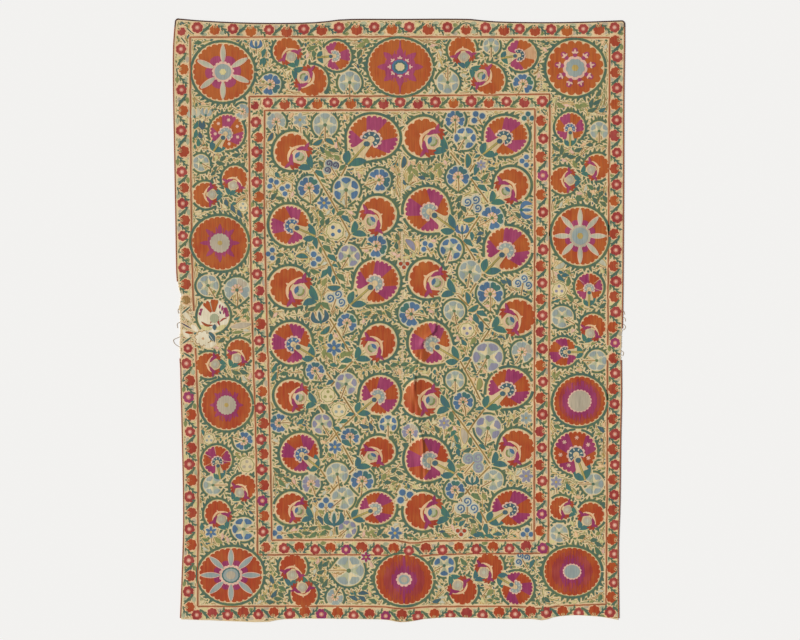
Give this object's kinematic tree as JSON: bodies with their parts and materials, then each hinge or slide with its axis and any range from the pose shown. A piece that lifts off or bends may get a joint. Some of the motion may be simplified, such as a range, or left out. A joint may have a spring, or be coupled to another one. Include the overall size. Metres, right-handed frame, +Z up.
{
  "type": "suzani embroidered textile",
  "caption": "Large rectangular embroidered cotton cloth of loom-width panels sewn edge to edge, with a narrow woven edging, laid flat as a bed, table or wall cover.",
  "frame": {"origin": "under the middle of the cloth's outline, on the surface that it lies on", "axes": "+Z up, out of the embroidered face; +Y towards the cloth's upper end; +X to the right with the upper end away from the viewer"},
  "size_m": [1.8091, 2.4165, 0.013],
  "materials": {
    "cotton_ground": "plain-woven undyed cotton, matt",
    "edging_maroon": "narrow braid, matt",
    "edging_red_brown": "narrow braid, matt",
    "silk_embroidery": "couched and chain-stitched silk, soft sheen"
  },
  "bodies": {
    "root": {"panel_left": "cotton_ground", "panel_centre_left": "cotton_ground", "panel_centre_right": "cotton_ground", "panel_right": "cotton_ground", "edging_top": "edging_maroon", "edging_left_upper": "edging_red_brown", "edging_left_lower": "edging_red_brown", "edging_right_upper": "edging_red_brown", "edging_right_lower": "edging_red_brown"}
  },
  "joints": []
}
